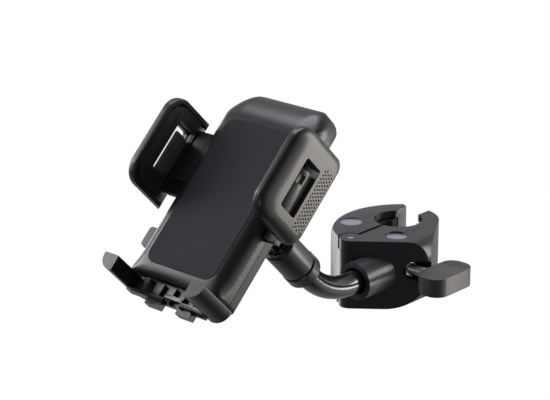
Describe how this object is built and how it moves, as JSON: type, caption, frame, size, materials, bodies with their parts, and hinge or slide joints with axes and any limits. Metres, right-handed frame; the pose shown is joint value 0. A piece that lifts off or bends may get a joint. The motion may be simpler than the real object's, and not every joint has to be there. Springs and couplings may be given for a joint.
{
  "type": "phone holder",
  "caption": "Bar-mounted phone holder: cradle with sliding side grips and foot, ball joint, bent tube and hinged bar clamp with a T-knob screw.",
  "frame": {"origin": "centre of the clamp's round bar opening, at the jaws' mid-height", "axes": "+Z along the bar and up, +X along the clamp screw towards its knob, +Y towards the clamp's mouth, so the cradle lies on the -Y side"},
  "size_m": [0.1008, 0.248, 0.1476],
  "materials": {
    "shell_plastic": "satin charcoal moulding",
    "back_plastic": "satin charcoal moulding",
    "mat_rubber": "near-black matte mat",
    "arm_plastic": "satin charcoal moulding",
    "pad_rubber": "black matte lining",
    "insert_plastic": "pale grey moulding",
    "drive_plastic": "natural self-lubricating moulding",
    "spring_steel": "drawn wire",
    "tray_plastic": "satin charcoal moulding",
    "stem_plastic": "smooth black moulding",
    "collar_plastic": "smooth black moulding",
    "tube_paint": "gloss black lacquer on a bent tube",
    "jaw_plastic": "dark grey fine-grained moulding",
    "steel": "turned steel",
    "knob_plastic": "dark grey fine-grained moulding"
  },
  "bodies": {
    "clamp_base": {"front_jaw": "jaw_plastic", "front_jaw_pad": "pad_rubber", "hinge_pin": "steel", "arm_tube": "tube_paint", "ball_socket": "stem_plastic"},
    "rear_jaw_set": {"rear_jaw": "jaw_plastic", "rear_jaw_pad": "pad_rubber"},
    "swivel": {"swivel_barrel": "steel"},
    "screw_set": {"clamp_screw": "steel", "thrust_washer": "steel", "lock_nut": "steel", "clamp_knob": "knob_plastic"},
    "nut": {"nut_barrel": "steel"},
    "collar": {"collar_nut": "collar_plastic"},
    "stem": {"ball_stem": "stem_plastic", "stem_washer": "steel", "stem_screw": "steel"},
    "cradle": {"front_shell": "shell_plastic", "rear_shell": "back_plastic", "front_mat": "mat_rubber", "pinion_axle": "steel", "arm_spring": "spring_steel", "button_spring": "spring_steel", "shell_screws": "steel"},
    "left_grip": {"left_slider": "back_plastic", "left_arm": "arm_plastic", "left_arm_pad": "pad_rubber", "left_arm_insert": "insert_plastic"},
    "right_grip": {"right_slider": "back_plastic", "right_arm": "arm_plastic", "right_arm_pad": "pad_rubber", "right_arm_insert": "insert_plastic"},
    "drive_gear": {"pinion": "drive_plastic"},
    "release": {"release_button": "shell_plastic"},
    "foot": {"foot_tray": "tray_plastic"}
  },
  "joints": [
    {"name": "rear_jaw_hinge", "type": "hinge", "parent": "clamp_base", "child": "rear_jaw_set", "pos_m": [0, -0.0438, 0], "axis": [0, 0, 1], "range_deg": [0, 20]},
    {"name": "swivel_turn", "type": "hinge", "parent": "clamp_base", "child": "swivel", "pos_m": [0.0176, -0.0229, 0], "axis": [0, 0, 1], "range_deg": [0, 10.01]},
    {"name": "knob_turn", "type": "hinge", "parent": "swivel", "child": "screw_set", "pos_m": [0.0176, -0.0229, 0.0032], "axis": [1, 0, 0], "range_deg": [0, 2422]},
    {"name": "nut_turn", "type": "hinge", "parent": "rear_jaw_set", "child": "nut", "pos_m": [-0.0176, -0.0229, 0], "axis": [0, 0, 1], "range_deg": [-10.01, 0]},
    {"name": "collar_turn", "type": "hinge", "parent": "clamp_base", "child": "collar", "pos_m": [0.0138, -0.11849, 0.03785], "axis": [0, -0.6947, 0.7193], "range_deg": [-180, 180]},
    {"name": "ball_tilt", "type": "hinge", "parent": "clamp_base", "child": "stem", "pos_m": [0.0138, -0.11849, 0.03785], "axis": [1, 0, 0], "range_deg": [-18, 18]},
    {"name": "cradle_roll", "type": "hinge", "parent": "stem", "child": "cradle", "pos_m": [0.0138, -0.11849, 0.03785], "axis": [0, -0.6947, 0.7193], "continuous": true},
    {"name": "left_arm_slide", "type": "slide", "parent": "cradle", "child": "left_grip", "axis": [-1, 0, 0], "range_m": [-0.008, 0.006]},
    {"name": "right_arm_slide", "type": "slide", "parent": "cradle", "child": "right_grip", "axis": [1, 0, 0], "range_m": [-0.008, 0.006]},
    {"name": "pinion_spin", "type": "hinge", "parent": "cradle", "child": "drive_gear", "pos_m": [0.0138, -0.15088, 0.08651], "axis": [0, -0.6947, 0.7193], "range_deg": [-80, 60]},
    {"name": "button_press", "type": "hinge", "parent": "cradle", "child": "release", "pos_m": [-0.0052, -0.17539, 0.06006], "axis": [0, -0.6947, 0.7193], "range_deg": [0, 7], "stiffness_Nm_per_rad": 0.15, "springref_deg": -8.59},
    {"name": "foot_slide", "type": "slide", "parent": "cradle", "child": "foot", "axis": [0, -0.7193, -0.6947], "range_m": [0, 0.012]}
  ],
  "couplings": [
    {"joint": "swivel_turn", "follows": "rear_jaw_hinge", "ratio": 0.5},
    {"joint": "nut_turn", "follows": "rear_jaw_hinge", "ratio": -0.5},
    {"joint": "knob_turn", "follows": "rear_jaw_hinge", "ratio": 121.03},
    {"joint": "right_arm_slide", "follows": "left_arm_slide", "ratio": 1},
    {"joint": "pinion_spin", "follows": "left_arm_slide", "rad_per_m": 166.67}
  ]
}
